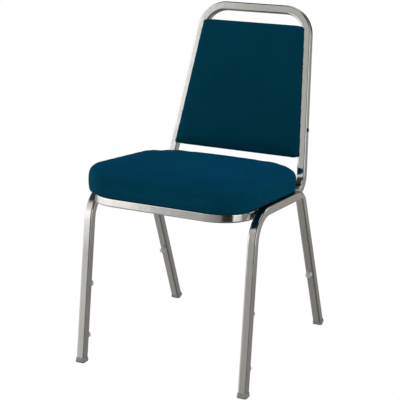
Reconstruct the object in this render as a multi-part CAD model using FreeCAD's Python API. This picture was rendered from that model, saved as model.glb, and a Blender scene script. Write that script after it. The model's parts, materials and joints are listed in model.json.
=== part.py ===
import FreeCAD, Part

import math
import os

"""Stacking chair: a welded frame of chromed square tube with a padded seat and a padded back panel.

Millimetres, +Z up, the front of the chair towards -Y. The origin is on the floor, at the middle of
the chair's outer box. Every physical piece is one solid (or a group of identical solids) in its own
node. Pieces that touch are drawn face to face or with a small clearance, never overlapping.
"""

Vector = FreeCAD.Vector
Rotation = FreeCAD.Rotation
Placement = FreeCAD.Placement

# ---- driving dimensions -------------------------------------------------------------------------

# square tube, 7/8 inch, used for the whole frame
TUBE = 22.2
TUBE_CORNER = 4.0
TUBE_WALL = 1.5
HALF = TUBE / 2

# back hoop: two posts that lean back and close in towards the top rail
OVERALL_HEIGHT = 867.5
POST_LEAN = 17.74            # degrees back from vertical
POST_CLOSING = 5.93          # degrees that each post leans towards the middle
POST_REF_X = 191.0           # post centre line at the height below
POST_REF_Y = 159.4
POST_REF_Z = 471.5
TOP_BEND = 70.0              # centre line radii
LOW_BEND = 56.0

# seat frame: side rails run forward from the posts into a bent front rail
SEAT_PITCH = 4.67            # degrees, lower at the rear
SIDE_SPLAY = 0.81            # degrees, wider at the front
FRONT_RAIL_Y = -277.1
FRONT_RAIL_Z = 442.7
SIDE_RAIL_X = 202.9          # side rail centre line where the front bend starts
FRONT_BEND = 80.0
TWIST_LENGTH = 70.0          # stretch in which the side rail turns to lie square with the seat
RAIL_JOINT = 36.0            # straight part of the front rail behind its bend
SLEEVE_LENGTH = 60.0
SLEEVE_BORE_CORNER = 1.5

# leg frames: one bent tube a side, standing against the outside of the seat frame
KNEE_X = 226.3
KNEE_Y = -219.6
KNEE_Z = 442.8
REAR_KNEE_Y = 72.0
FRONT_FOOT_Y = -281.5
REAR_FOOT_Y = 230.2
LEG_SPLAY = 0.36             # degrees, wider at the floor
FRONT_KNEE_BEND = 74.0
REAR_KNEE_OUTER = 62.0       # the rear knee is pressed: wide outside, tight inside
REAR_KNEE_INNER = 9.0
REAR_KNEE_REACH = 36.0       # from the knee's corner to the end of the pressed stretch
DIMPLE_RADIUS = 9.0
DIMPLE_DEPTH = 0.8
DIMPLE_INSET = 9.5

# rear cross rail and mounting tabs, all under the seat or behind the back panel
CROSS_RAIL_U = 285.0         # distance behind the front rail, along the seat frame
TAB_THICKNESS = 3.0
TAB_LENGTH = 34.0
TAB_REACH = 30.0
TAB_CORNER = 3.0
TAB_DROP = 0.5               # seat tabs sit this far below the rails' tops
TAB_HOLE = 3.4
TAB_HOLE_REACH = 16.5        # from the rail's or post's face to the screw
SEAT_TABS = (98.0, 245.0)    # behind the front rail
BACK_TABS = (70.0, 292.0)    # up the posts
SEAM_BEAD = 2.6              # bead radii and the places of the seam's stitches
SEAM_STITCH = 24.0
SEAM_SUNK = 1.5              # below the rails' top faces and above their lower ones
SEAM_PLACES = (125.0, 205.0, 285.0)
SEAT_TAB_BEAD = 1.8
BACK_TAB_BEAD = 2.4
BEAD_SHORT = 4.0             # each bead stops this far short of its piece's ends
JOINT_BEAD_HALF = 1.6
JOINT_BEAD_PROUD = 0.5

# seat: board, foam, cover
BOARD = 11.0
FABRIC = 1.2
SEAT_HALF_WIDTH = 225.0      # at the front corners
SEAT_REAR_WIDENING = 6.0     # each side, from the front corners to the rear corners
SEAT_FRONT = -19.5           # front and rear of the cushion, measured along the seat frame
SEAT_REAR = 387.0
SEAT_HEIGHT = 84.8           # top of the cushion's front above the rails' centre plane
SEAT_FALL = 1.98             # degrees that the top falls to the rear, beyond the frame's own pitch
SEAT_FRONT_CORNER = 88.0
SEAT_REAR_CORNER = 108.0
SEAT_TOP_EDGE = 25.0
SEAT_LOW_EDGE = 13.0
SEAT_RELIEF_RISE = 4.9       # the leg frames' rails stand higher than the side rails
SEAT_RELIEF_FROM = 46.0
SEAT_RELIEF_SEAM = 1.2       # the step's edge lies this far inside the side rail's outer face
BOARD_INSET = 26.0
WRAP_INSET = 58.0            # the cover is stapled under the board in a margin that ends here
DUST_COVER = 0.9

# back panel, measured up the posts from their reference point
PANEL_LOW = 16.5
PANEL_HIGH = 359.5
PANEL_CLEAR = 0.9            # beside each post
PANEL_REAR = -6.0
PANEL_FRONT = 24.0
PANEL_LAP = 5.5              # the padded face is this much wider, and laps over each post
BACK_BOARD = 9.0
PANEL_LOW_CORNER = 12.0
PANEL_HIGH_CORNER = 20.0
PANEL_FRONT_EDGE = 8.0
PANEL_REAR_EDGE = 4.0
PANEL_LAP_EDGE = 3.0
PANEL_CORE_INSET = 6.0
PANEL_REAR_FOAM = 3.0

# glides on the feet and bumpers that keep stacked chairs apart
GLIDE = 26.4
GLIDE_TOP = 24.6
GLIDE_HEIGHT = 10.5
GLIDE_CORNER = 5.5
GLIDE_RIM = 4.0              # height of the cup's widest line, along the leg
GLIDE_POCKET = 0.1           # clearance round the tube
TUBE_END_FRONT = 5.0         # gap from the floor to the end of the tube, along the leg
TUBE_END_REAR = 7.5
REAR_GLIDE_LIFT = 2.0
BUMPER_RADIUS = 8.0
BUMPER_HEIGHT = 14.0
BUMPER_RIM = 11.5
POST_BUMPER_RADIUS = 5.5
POST_BUMPER_HEIGHT = 3.8
POST_BUMPER_RIM = 1.4
BUMPER_STEM = 2.9
BUMPER_STEM_LENGTH = 6.0
STEM_HOLE = 3.1
FRONT_BUMPER_HEIGHTS = {"upper": 202.0, "lower": 66.0}
REAR_BUMPER_HEIGHT = 176.5
POST_BUMPER_UP = 90.0

# fasteners
SCREW_RADIUS = 3.0
SCREW_HEAD = 6.0
SCREW_HEAD_HEIGHT = 3.2
SCREW_HEAD_EDGE = 1.6
SCREW_SLOT = 1.2
SCREW_SLOT_LENGTH = 7.0
SCREW_SLOT_DEPTH = 1.4
SEAT_SCREW_LENGTH = 14.0
BACK_SCREW_LENGTH = 16.0
TEE_NUT_FLANGE = 9.0
TEE_NUT_FLANGE_THICKNESS = 1.5
TEE_NUT_BARREL = 4.2
TEE_NUT_LENGTH = 8.0
OVERCUT = 1.0                # how far a cutting shape runs past what it cuts
CLEAR = 0.3                  # general clearance between neighbouring pieces
SNUG = 0.05                  # clearance between pieces that are pressed or seated together

SAME = 1e-4                  # points nearer than this are taken as one
X = Vector(1, 0, 0)
Y = Vector(0, 1, 0)
Z = Vector(0, 0, 1)
NODES = {}


# ---- helpers ------------------------------------------------------------------------------------

def rad(degrees):
    return math.radians(degrees)


def unit(vector):
    return Vector(vector).normalize()


def axes(origin, x_axis, y_axis):
    """The placement whose local X and Y are the two given directions."""
    z_axis = x_axis.cross(y_axis)
    matrix = FreeCAD.Matrix(
        x_axis.x, y_axis.x, z_axis.x, origin.x,
        x_axis.y, y_axis.y, z_axis.y, origin.y,
        x_axis.z, y_axis.z, z_axis.z, origin.z,
        0, 0, 0, 1)
    return Placement(matrix)


def placed(shape, placement):
    copy = shape.copy()
    copy.transformShape(placement.toMatrix())
    return copy


def mirrored(shape):
    return shape.mirror(Vector(0, 0, 0), X)


def outline(points, radii):
    """A closed wire through the points, each corner rounded by its radius."""
    count = len(points)
    edges = []
    cursor = None
    first = None
    for i in range(count):
        corner = points[i]
        before = unit(points[i - 1] - corner)
        after = unit(points[(i + 1) % count] - corner)
        if radii[i] > 0:
            half_angle = before.getAngle(after) / 2
            reach = radii[i] / math.tan(half_angle)
            start = corner + before * reach
            end = corner + after * reach
            centre = corner + unit(before + after) * (radii[i] / math.sin(half_angle))
            middle = centre + unit(corner - centre) * radii[i]
        else:
            start = end = corner
        if cursor is None:
            first = start
        elif (start - cursor).Length > SAME:
            edges.append(Part.LineSegment(cursor, start).toShape())
        if radii[i] > 0:
            edges.append(Part.Arc(start, middle, end).toShape())
        cursor = end
    if (first - cursor).Length > SAME:
        edges.append(Part.LineSegment(cursor, first).toShape())
    return Part.Wire(edges)


def rectangle(width, depth, radius):
    """A rounded rectangle about the local origin."""
    a = width / 2
    b = depth / 2
    corners = [Vector(a, b), Vector(-a, b), Vector(-a, -b), Vector(a, -b)]
    return outline(corners, [radius] * 4)


def square(width, radius):
    return rectangle(width, width, radius)


def prism(wire, low, high):
    """A straight solid on a wire drawn in the local XY plane, between two heights."""
    solid = Part.Face(wire).extrude(Z * (high - low))
    solid.translate(Z * low)
    return solid


def edges_on(solid, point, normal):
    """The edges that lie in one plane."""
    found = []
    for edge in solid.Edges:
        span = edge.LastParameter - edge.FirstParameter
        spots = [edge.valueAt(edge.FirstParameter + span * part) for part in (0, 0.3, 0.7, 1)]
        if all(abs((spot - point).dot(normal)) < SAME for spot in spots):
            found.append(edge)
    return found


def level_edges(solid, height):
    return edges_on(solid, Z * height, Z)


def union(solids):
    joined = solids[0]
    if len(solids) > 1:
        joined = joined.multiFuse(solids[1:])
    return joined.removeSplitter()


def add(name, solids):
    """Keep one node: one solid, or a group of separate ones."""
    pieces = []
    for solid in solids:
        pieces.extend(solid.Solids)
    NODES[name] = pieces[0] if len(pieces) == 1 else Part.makeCompound(pieces)


class TubeRun:
    """A square tube laid end to end. Local Z of `at` is the heading, X and Y are the tube's sides."""

    def __init__(self, at):
        self.at = at
        self.outer = []
        self.inner = []
        self.skins = (
            (square(TUBE, TUBE_CORNER), self.outer),
            (square(TUBE - 2 * TUBE_WALL, TUBE_CORNER - TUBE_WALL), self.inner))

    def turned(self, vector):
        return self.at.Rotation.multVec(vector)

    def straight(self, length):
        step = self.turned(Z) * length
        for wire, solids in self.skins:
            solids.append(Part.Face(placed(wire, self.at)).extrude(step))
        self.at = Placement(self.at.Base + step, self.at.Rotation)

    def straight_to(self, point):
        self.straight((point - self.at.Base).dot(self.turned(Z)))

    def bend(self, toward, radius, degrees):
        """Turn about a centre that lies on the side given in local axes."""
        side = self.turned(toward)
        axis = self.turned(Z).cross(side)
        centre = self.at.Base + side * radius
        for wire, solids in self.skins:
            solids.append(Part.Face(placed(wire, self.at)).revolve(centre, axis, degrees))
        turn = Rotation(axis, degrees)
        self.at = Placement(centre + turn.multVec(self.at.Base - centre), turn * self.at.Rotation)

    def pressed_bend(self, reach, inner_radius, outer_radius, degrees):
        """A bend towards local X whose inside stays tight while the outside is drawn wide."""
        corner = self.at.Base + self.turned(Z) * reach
        turn = Rotation(self.turned(Z).cross(self.turned(X)), degrees)
        after = Placement(
            corner + turn.multVec(self.turned(Z)) * reach, turn * self.at.Rotation)
        start = self.at
        for (wire, solids), inset in zip(self.skins, (0, TUBE_WALL)):
            half = HALF - inset
            rise = half * math.tan(rad(degrees) / 2)
            across = start.Rotation.multVec(X) * half
            heading = start.Rotation.multVec(Z)
            after_across = after.Rotation.multVec(X) * half
            points = [
                start.Base - across,
                start.Base - across + heading * (reach + rise),
                after.Base - after_across,
                after.Base + after_across,
                start.Base + across + heading * (reach - rise),
                start.Base + across]
            radii = [0, outer_radius - inset, 0, 0, inner_radius + inset, 0]
            normal = start.Rotation.multVec(Y)
            plate = Part.Face(outline(points, radii)).extrude(normal * (2 * half))
            plate.translate(normal * -half)
            long_edges = []
            for edge in plate.Edges:
                ends = [vertex.Point for vertex in edge.Vertexes]
                flat = all(abs(abs((p - start.Base).dot(normal)) - half) < SAME for p in ends)
                level = abs((ends[0] - ends[1]).dot(normal)) < SAME
                at_start = all(abs((p - start.Base).dot(heading)) < SAME for p in ends)
                leaving = after.Rotation.multVec(Z)
                at_end = all(abs((p - after.Base).dot(leaving)) < SAME for p in ends)
                if flat and level and not at_start and not at_end:
                    long_edges.append(edge)
            solids.append(plate.makeFillet(TUBE_CORNER - inset, long_edges))
        self.at = after

    def morph_to(self, target):
        """A short ruled stretch whose section turns to match the target's."""
        for wire, solids in self.skins:
            ends = [placed(wire, self.at), placed(wire, target)]
            solids.append(Part.makeLoft(ends, True, True))
        self.at = target

    def shell(self):
        return union(self.outer).cut(union(self.inner))


# ---- places worked out from the driving dimensions ----------------------------------------------

# the seat frame's own axes: X across, Y to the rear along the rails, Z square to them
seat_back = Vector(0, math.cos(rad(SEAT_PITCH)), -math.sin(rad(SEAT_PITCH)))
seat_up = X.cross(seat_back)
SEAT = axes(Vector(0, FRONT_RAIL_Y, FRONT_RAIL_Z), X, seat_back)

# the back's own axes: X across, Y up the slope, Z out of the back's front face
slope_up = Vector(0, math.sin(rad(POST_LEAN)), math.cos(rad(POST_LEAN)))
BACK = axes(Vector(0, POST_REF_Y, POST_REF_Z), X, slope_up)
back_front = BACK.Rotation.multVec(Z)
TOP_RAIL_UP = (OVERALL_HEIGHT - POST_REF_Z
               - HALF * (slope_up.z + abs(back_front.z))
               + TUBE_CORNER * (slope_up.z + abs(back_front.z) - 1)) / slope_up.z


def post_x(up):
    """Centre line of the right post at a distance up the slope from the reference point."""
    return POST_REF_X - up * math.tan(rad(POST_CLOSING))


def on_back(x, up, out=0.0):
    return BACK.multVec(Vector(x, up, out))


def on_seat(x, behind, above=0.0):
    return SEAT.multVec(Vector(x, behind, above))


# ---- frame --------------------------------------------------------------------------------------

def side_rail_x(behind):
    """Centre line of the right side rail at a distance behind the front rail."""
    return SIDE_RAIL_X - (behind - FRONT_BEND) * math.tan(rad(SIDE_SPLAY))


def rail_forward(side=1):
    """The direction of a side rail, towards the front."""
    return unit(on_seat(side * side_rail_x(0), 0) - on_seat(side * side_rail_x(SEAT_REAR), SEAT_REAR))


def rail_section(behind, side=1):
    """A side rail's section, heading forward, square with the seat frame."""
    forward = rail_forward(side)
    return axes(on_seat(side * side_rail_x(behind), behind), seat_up.cross(forward), seat_up)


def half_back_frame(side):
    """From the middle of the top rail, round the top corner, down the post and forward."""
    start = on_back(0, TOP_RAIL_UP)
    run = TubeRun(axes(start, slope_up * -1, back_front * -side))
    corner_x = post_x(TOP_RAIL_UP)
    turn = 90 - POST_CLOSING
    run.straight(corner_x - TOP_BEND * math.tan(rad(turn) / 2))
    run.bend(X, TOP_BEND, turn)
    low_turn = 90 - POST_LEAN + SEAT_PITCH
    rail_line = on_seat(0, 0)
    down = run.turned(Z)
    reach = (rail_line - run.at.Base).dot(seat_up) / down.dot(seat_up)
    run.straight(reach - LOW_BEND * math.tan(rad(low_turn) / 2))
    run.bend(Y * -side, LOW_BEND, low_turn)
    bend_end = (run.at.Base - SEAT.Base).dot(seat_back)
    target = rail_section(bend_end - TWIST_LENGTH, side)
    run.morph_to(matched(target, run.at))
    run.straight_to(on_seat(side * side_rail_x(rail_end()), rail_end()))
    return run


def matched(target, current):
    """The target section, turned by quarters so that its sides follow the current ones."""
    best = None
    for quarter in range(4):
        turned = target * Placement(Vector(), Rotation(Z, 90 * quarter))
        match = turned.Rotation.multVec(X).dot(current.Rotation.multVec(X))
        if best is None or match > best[0]:
            best = (match, turned)
    return best[1]


def rail_end():
    """Where the back frame's side rail meets the front rail, behind the front rail's centre."""
    return FRONT_BEND + RAIL_JOINT


def half_front_rail(side):
    run = TubeRun(axes(on_seat(0, 0), seat_back, seat_up * side))
    turn = 90 + SIDE_SPLAY
    reach = FRONT_BEND * math.tan(rad(turn) / 2)
    corner_x = SIDE_RAIL_X + FRONT_BEND * math.tan(rad(SIDE_SPLAY))
    run.straight(corner_x - reach)
    run.bend(X, FRONT_BEND, turn)
    run.straight_to(on_seat(side * side_rail_x(rail_end()), rail_end()))
    return run


def joined(halves):
    """The outer and inner solids of a tube that is drawn as two half runs."""
    outer = union([solid for half in halves for solid in half.outer])
    inner = union([solid for half in halves for solid in half.inner])
    return outer, inner


def leg_plane_point(y, z):
    """A point of the right leg frame's centre plane."""
    x = KNEE_X - (y - KNEE_Y) * math.tan(rad(SIDE_SPLAY)) - (z - KNEE_Z) * math.tan(rad(LEG_SPLAY))
    return Vector(x, y, z)


def turn_between(first, second):
    return math.degrees(unit(first).getAngle(unit(second)))


REAR_KNEE_Z = KNEE_Z - (REAR_KNEE_Y - KNEE_Y) * math.tan(rad(SEAT_PITCH))
front_knee = leg_plane_point(KNEE_Y, KNEE_Z)
rear_knee = leg_plane_point(REAR_KNEE_Y, REAR_KNEE_Z)
front_foot = leg_plane_point(FRONT_FOOT_Y, 0)
rear_foot = leg_plane_point(REAR_FOOT_Y, 0)
leg_normal = unit((front_knee - front_foot).cross(rear_knee - front_knee))
if leg_normal.x < 0:
    leg_normal = leg_normal * -1


def leg_axes(foot, knee):
    """Axes at a foot: Z up the leg, Y out of the leg frame's side, X across."""
    up = unit(knee - foot)
    return axes(foot, leg_normal.cross(up), leg_normal)


def leg_frame():
    up = unit(front_knee - front_foot)
    back = unit(rear_knee - front_knee)
    down = unit(rear_foot - rear_knee)
    toward = leg_normal.cross(up)
    if toward.dot(back) < 0:
        toward = toward * -1
    start = front_foot + up * TUBE_END_FRONT
    run = TubeRun(axes(start, toward, up.cross(toward)))
    turn = turn_between(up, back)
    run.straight((front_knee - start).Length - FRONT_KNEE_BEND * math.tan(rad(turn) / 2))
    run.bend(X, FRONT_KNEE_BEND, turn)
    run.straight_to(rear_knee - back * REAR_KNEE_REACH)
    run.pressed_bend(REAR_KNEE_REACH, REAR_KNEE_INNER, REAR_KNEE_OUTER, turn_between(back, down))
    run.straight_to(rear_foot - down * TUBE_END_REAR)
    return run


def dimples():
    """Shallow press marks on both sides of the rear knee, beside its tight inner corner."""
    back = unit(rear_knee - front_knee)
    down = unit(rear_foot - rear_knee)
    centre = rear_knee + unit(down - back) * (HALF - DIMPLE_INSET)
    marks = []
    for side in (1, -1):
        rise = HALF + DIMPLE_RADIUS - DIMPLE_DEPTH
        marks.append(Part.makeSphere(DIMPLE_RADIUS, centre + leg_normal * (side * rise)))
    return marks


def bumper(radius, height, rim):
    """A button with a stem, standing on the local XY plane, that is domed above its rim."""
    rise = height - rim
    ball = (radius ** 2 + rise ** 2) / (2 * rise)
    drum = Part.makeCylinder(radius, height, Z * SNUG, Z)
    button = drum.common(Part.makeSphere(ball, Z * (height - ball)))
    stem = Part.makeCylinder(BUMPER_STEM, BUMPER_STEM_LENGTH + rim, Z * -BUMPER_STEM_LENGTH, Z)
    return button.fuse(stem).removeSplitter()


def leg_bumper_places():
    """Right-hand bumper places: name, placement with Z out of the tube's face."""
    places = {}
    for level, height in FRONT_BUMPER_HEIGHTS.items():
        up = unit(front_knee - front_foot)
        centre = front_foot + up * (height / up.z)
        rear = unit(leg_normal.cross(up))
        if rear.y < 0:
            rear = rear * -1
        places["front_" + level] = axes(centre + rear * HALF, leg_normal, rear.cross(leg_normal))
    up = unit(rear_knee - rear_foot)
    centre = rear_foot + up * (REAR_BUMPER_HEIGHT / up.z)
    front = unit(leg_normal.cross(up))
    if front.y > 0:
        front = front * -1
    places["rear"] = axes(centre + front * HALF, leg_normal, front.cross(leg_normal))
    return places


def post_bumper_place():
    outward = unit(on_back(math.cos(rad(POST_CLOSING)), math.sin(rad(POST_CLOSING))) - BACK.Base)
    along = back_front.cross(outward)
    centre = on_back(post_x(POST_BUMPER_UP), POST_BUMPER_UP) + outward * HALF
    return axes(centre, along, back_front)


def stem_hole(place):
    hole = Part.makeCylinder(STEM_HOLE, 4 * TUBE_WALL, Vector(0, 0, -3 * TUBE_WALL), Z)
    return placed(hole, place)


def glide(place, base, tube_end):
    """A cup over the end of a leg, flat on the floor where it touches."""
    high = placed(square(GLIDE_TOP, GLIDE_CORNER), Placement(Z * GLIDE_HEIGHT, Rotation()))
    rim = placed(square(GLIDE, GLIDE_CORNER), Placement(Z * GLIDE_RIM, Rotation()))
    body = prism(square(GLIDE, GLIDE_CORNER), base, GLIDE_RIM)
    body = body.fuse(Part.makeLoft([rim, high], True, True)).removeSplitter()
    pocket = square(TUBE + 2 * GLIDE_POCKET, TUBE_CORNER + GLIDE_POCKET)
    cup = placed(body.cut(prism(pocket, tube_end - SNUG, 2 * GLIDE_HEIGHT)), place)
    reach = 3 * GLIDE
    ground = Part.makeBox(reach, reach, reach, place.Base - Vector(reach / 2, reach / 2, 0))
    return cup.common(ground)


leg_run = leg_frame()
back_outer, back_inner = joined([half_back_frame(1), half_back_frame(-1)])
front_outer, front_inner = joined([half_front_rail(1), half_front_rail(-1)])
leg_outer = union(leg_run.outer)
bumper_places = leg_bumper_places()

right_leg = leg_run.shell().cut(Part.makeCompound(dimples()))
for place in bumper_places.values():
    right_leg = right_leg.cut(stem_hole(place))
back_tube = back_outer.cut(back_inner)
post_place = post_bumper_place()
post_hole = stem_hole(post_place)
back_tube = back_tube.cut(Part.makeCompound([post_hole, mirrored(post_hole)]))
add("back_frame_tube", [back_tube])
add("seat_front_rail", [front_outer.cut(front_inner)])
add("leg_frame_right", [right_leg])
add("leg_frame_left", [mirrored(right_leg)])


def sleeve():
    """A short square tube inside the joint of the side rail and the front rail."""
    width = TUBE - 2 * TUBE_WALL - 4 * SNUG
    corner = TUBE_CORNER - TUBE_WALL
    place = rail_section(rail_end() + SLEEVE_LENGTH / 2)
    ring = prism(square(width, corner), 0, SLEEVE_LENGTH)
    bore = prism(square(width - 2 * TUBE_WALL, SLEEVE_BORE_CORNER), -OVERCUT, SLEEVE_LENGTH + OVERCUT)
    return placed(ring.cut(bore), place)


add("rail_joint_sleeves", [sleeve(), mirrored(sleeve())])


def cross_rail():
    """A straight tube between the side rails, cut back to clear them."""
    half = side_rail_x(CROSS_RAIL_U) - HALF - CLEAR
    run = TubeRun(axes(on_seat(-half, CROSS_RAIL_U), seat_back, seat_up))
    run.straight(2 * half)
    return run.shell()


add("rear_cross_rail", [cross_rail()])


SEAT_TAB_LOW = HALF - TAB_DROP - TAB_THICKNESS
BACK_TAB_LOW = PANEL_REAR - CLEAR - TAB_THICKNESS


def seat_tab(behind):
    """A flat tab on the inner face of the side rail, just below the rail's top."""
    inner = side_rail_x(behind) - HALF - CLEAR
    plate = rectangle(TAB_REACH, TAB_LENGTH, TAB_CORNER)
    solid = prism(plate, SEAT_TAB_LOW, SEAT_TAB_LOW + TAB_THICKNESS)
    solid.translate(Vector(inner - TAB_REACH / 2, behind, 0))
    hole = Part.makeCylinder(TAB_HOLE, 4 * HALF, seat_screw(behind) - Z * 2 * HALF, Z)
    return placed(solid.cut(hole), SEAT)


def seat_screw(behind):
    """The screw's place on the tab, in the seat frame's axes."""
    return Vector(side_rail_x(behind) - HALF - TAB_HOLE_REACH, behind, 0)


def back_tab(up):
    """A flat tab on the inner face of the post, behind the panel."""
    inner = post_x(up) - HALF / math.cos(rad(POST_CLOSING)) - CLEAR
    plate = rectangle(TAB_REACH, TAB_LENGTH, TAB_CORNER)
    solid = prism(plate, BACK_TAB_LOW, BACK_TAB_LOW + TAB_THICKNESS)
    solid.rotate(Vector(), Z, POST_CLOSING)
    solid.translate(Vector(inner - TAB_REACH / 2, up, 0))
    hole = Part.makeCylinder(TAB_HOLE, 4 * HALF, back_screw(up) - Z * 2 * HALF, Z)
    return placed(solid.cut(hole), BACK)


def back_screw(up):
    return Vector(post_x(up) - HALF - TAB_HOLE_REACH, up, 0)


seat_tabs = [seat_tab(behind) for behind in SEAT_TABS]
back_tabs = [back_tab(up) for up in BACK_TABS]
add("seat_mounting_tabs", seat_tabs + [mirrored(tab) for tab in seat_tabs])
add("back_mounting_tabs", back_tabs + [mirrored(tab) for tab in back_tabs])

# ---- seat ---------------------------------------------------------------------------------------

SEAT_BASE = HALF + CLEAR     # underside of the cover, above the rails' centre plane


def seat_outline(inset):
    half = SEAT_HALF_WIDTH - inset
    rear_half = half + SEAT_REAR_WIDENING
    points = [
        Vector(half, SEAT_FRONT + inset), Vector(rear_half, SEAT_REAR - inset),
        Vector(-rear_half, SEAT_REAR - inset), Vector(-half, SEAT_FRONT + inset)]
    front = SEAT_FRONT_CORNER - inset
    rear = SEAT_REAR_CORNER - inset
    return outline(points, [front, rear, rear, front])


def cushion(inset):
    """The padded seat's body, stepped on its underside where it rests on the leg frames."""
    low = SEAT_BASE + inset
    high = SEAT_HEIGHT - inset
    block = prism(seat_outline(inset), low, SEAT_HEIGHT + SEAT_TOP_EDGE)
    top = Vector(0, SEAT_FRONT, high)
    tilt = Rotation(X, -SEAT_FALL)
    span = 4 * SEAT_HALF_WIDTH
    lid = Part.makeBox(span, span, SEAT_HEIGHT, Vector(-span / 2, -span / 2, 0))
    block = block.cut(placed(lid, Placement(top, tilt)))
    block = block.makeFillet(SEAT_TOP_EDGE - inset, edges_on(block, top, tilt.multVec(Z)))
    block = block.makeFillet(SEAT_LOW_EDGE - inset, level_edges(block, low))
    relief = leg_rail_relief(inset)
    return block.cut(Part.makeCompound([relief, mirrored(relief)]))


def leg_rail_relief(inset):
    """The room that the leg frame's rail takes under the cushion's edge."""
    front = SEAT_RELIEF_FROM - inset
    rear = SEAT_REAR + HALF
    seam = HALF - SEAT_RELIEF_SEAM - inset
    wide = 2 * SEAT_HALF_WIDTH
    corners = [
        Vector(side_rail_x(front) + seam, front), Vector(wide, front),
        Vector(wide, rear), Vector(side_rail_x(rear) + seam, rear)]
    return prism(outline(corners, [0] * 4), 0, SEAT_BASE + SEAT_RELIEF_RISE + inset)


def seat_holes(radius, low, high):
    holes = []
    for behind in SEAT_TABS:
        for side in (1, -1):
            spot = seat_screw(behind)
            holes.append(Part.makeCylinder(radius, high - low, Vector(side * spot.x, spot.y, low), Z))
    return Part.makeCompound(holes)


def tee_nut():
    """A flanged nut pressed into the board, its flange at local zero and its barrel below."""
    end = Z * -TEE_NUT_LENGTH
    flange = Part.makeCylinder(TEE_NUT_FLANGE, TEE_NUT_FLANGE_THICKNESS)
    barrel = Part.makeCylinder(TEE_NUT_BARREL, TEE_NUT_LENGTH, end, Z)
    bore = Part.makeCylinder(SCREW_RADIUS + SNUG, 2 * TEE_NUT_LENGTH, end, Z)
    return flange.fuse(barrel).removeSplitter().cut(bore)


def screw(length):
    """A pan-head screw: head below local zero, shank above."""
    head = Part.makeCylinder(SCREW_HEAD, SCREW_HEAD_HEIGHT, Z * -SCREW_HEAD_HEIGHT, Z)
    head = head.makeFillet(SCREW_HEAD_EDGE, level_edges(head, -SCREW_HEAD_HEIGHT))
    slot = prism(rectangle(SCREW_SLOT, SCREW_SLOT_LENGTH, 0), 0, SCREW_SLOT_DEPTH)
    cross = slot.copy()
    cross.rotate(Vector(), Z, 90)
    recess = slot.fuse(cross)
    recess.translate(Z * -SCREW_HEAD_HEIGHT)
    shank = Part.makeCylinder(SCREW_RADIUS, length)
    return head.cut(recess).fuse(shank).removeSplitter()


board_low = SEAT_BASE + FABRIC
board_high = board_low + BOARD
board = prism(seat_outline(BOARD_INSET), board_low, board_high)
wrap_window = prism(seat_outline(WRAP_INSET), SEAT_BASE - OVERCUT, board_low)
foam_body = cushion(FABRIC).cut(prism(seat_outline(BOARD_INSET), board_low - OVERCUT, board_high))
nut_pocket_high = board_high + TEE_NUT_FLANGE_THICKNESS + CLEAR
nut_pockets = seat_holes(TEE_NUT_FLANGE + CLEAR, board_high - CLEAR, nut_pocket_high)
nut_barrels = seat_holes(TEE_NUT_BARREL + SNUG, board_low - OVERCUT, board_high + OVERCUT)
screw_clear = seat_holes(SCREW_RADIUS + 2 * CLEAR, SEAT_BASE - OVERCUT, board_low + OVERCUT)
add("seat_base_board", [placed(board.cut(nut_barrels), SEAT)])
add("seat_foam", [placed(foam_body.cut(nut_pockets), SEAT)])
seat_skin = cushion(0).cut(cushion(FABRIC)).cut(wrap_window).cut(screw_clear)
add("seat_cover", [placed(seat_skin, SEAT)])
dust_cover = prism(seat_outline(WRAP_INSET + CLEAR), board_low - SNUG - DUST_COVER, board_low - SNUG)
add("seat_dust_cover", [placed(dust_cover.cut(screw_clear), SEAT)])

seat_nuts = []
seat_screws = []
for tab_behind in SEAT_TABS:
    for hand in (1, -1):
        spot = seat_screw(tab_behind)
        spot.x *= hand
        nut = tee_nut()
        nut.translate(spot + Z * board_high)
        seat_nuts.append(placed(nut, SEAT))
        bolt = screw(SEAT_SCREW_LENGTH)
        bolt.translate(spot + Z * (SEAT_TAB_LOW - SNUG))
        seat_screws.append(placed(bolt, SEAT))
add("seat_tee_nuts", seat_nuts)
add("seat_screws", seat_screws)

# ---- back panel ---------------------------------------------------------------------------------


def panel_outline(inset, lap=0.0):
    low = PANEL_LOW + inset
    high = PANEL_HIGH - inset
    gap = HALF / math.cos(rad(POST_CLOSING)) + PANEL_CLEAR + inset - lap
    points = [
        Vector(post_x(low) - gap, low), Vector(post_x(high) - gap, high),
        Vector(gap - post_x(high), high), Vector(gap - post_x(low), low)]
    low_radius = PANEL_LOW_CORNER - inset
    high_radius = PANEL_HIGH_CORNER - inset
    return outline(points, [low_radius, high_radius, high_radius, low_radius])


def panel(inset):
    """Its rear lies between the posts, and its face laps over them."""
    lap_rear = HALF + PANEL_CLEAR
    rear = prism(panel_outline(inset), PANEL_REAR + inset, (lap_rear + PANEL_FRONT) / 2)
    rear = rear.makeFillet(PANEL_REAR_EDGE - inset, level_edges(rear, PANEL_REAR + inset))
    face = prism(panel_outline(inset, PANEL_LAP), lap_rear + inset, PANEL_FRONT - inset)
    face = face.makeFillet(PANEL_FRONT_EDGE - inset, level_edges(face, PANEL_FRONT - inset))
    face = face.makeFillet(PANEL_LAP_EDGE - inset, level_edges(face, lap_rear + inset))
    return rear.fuse(face).removeSplitter()


back_board_low = PANEL_REAR + FABRIC + PANEL_REAR_FOAM
back_board_high = back_board_low + BACK_BOARD


def back_holes(radius, low, high):
    holes = []
    for up in BACK_TABS:
        for side in (1, -1):
            spot = back_screw(up)
            holes.append(Part.makeCylinder(radius, high - low, Vector(side * spot.x, up, low), Z))
    return Part.makeCompound(holes)


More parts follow.
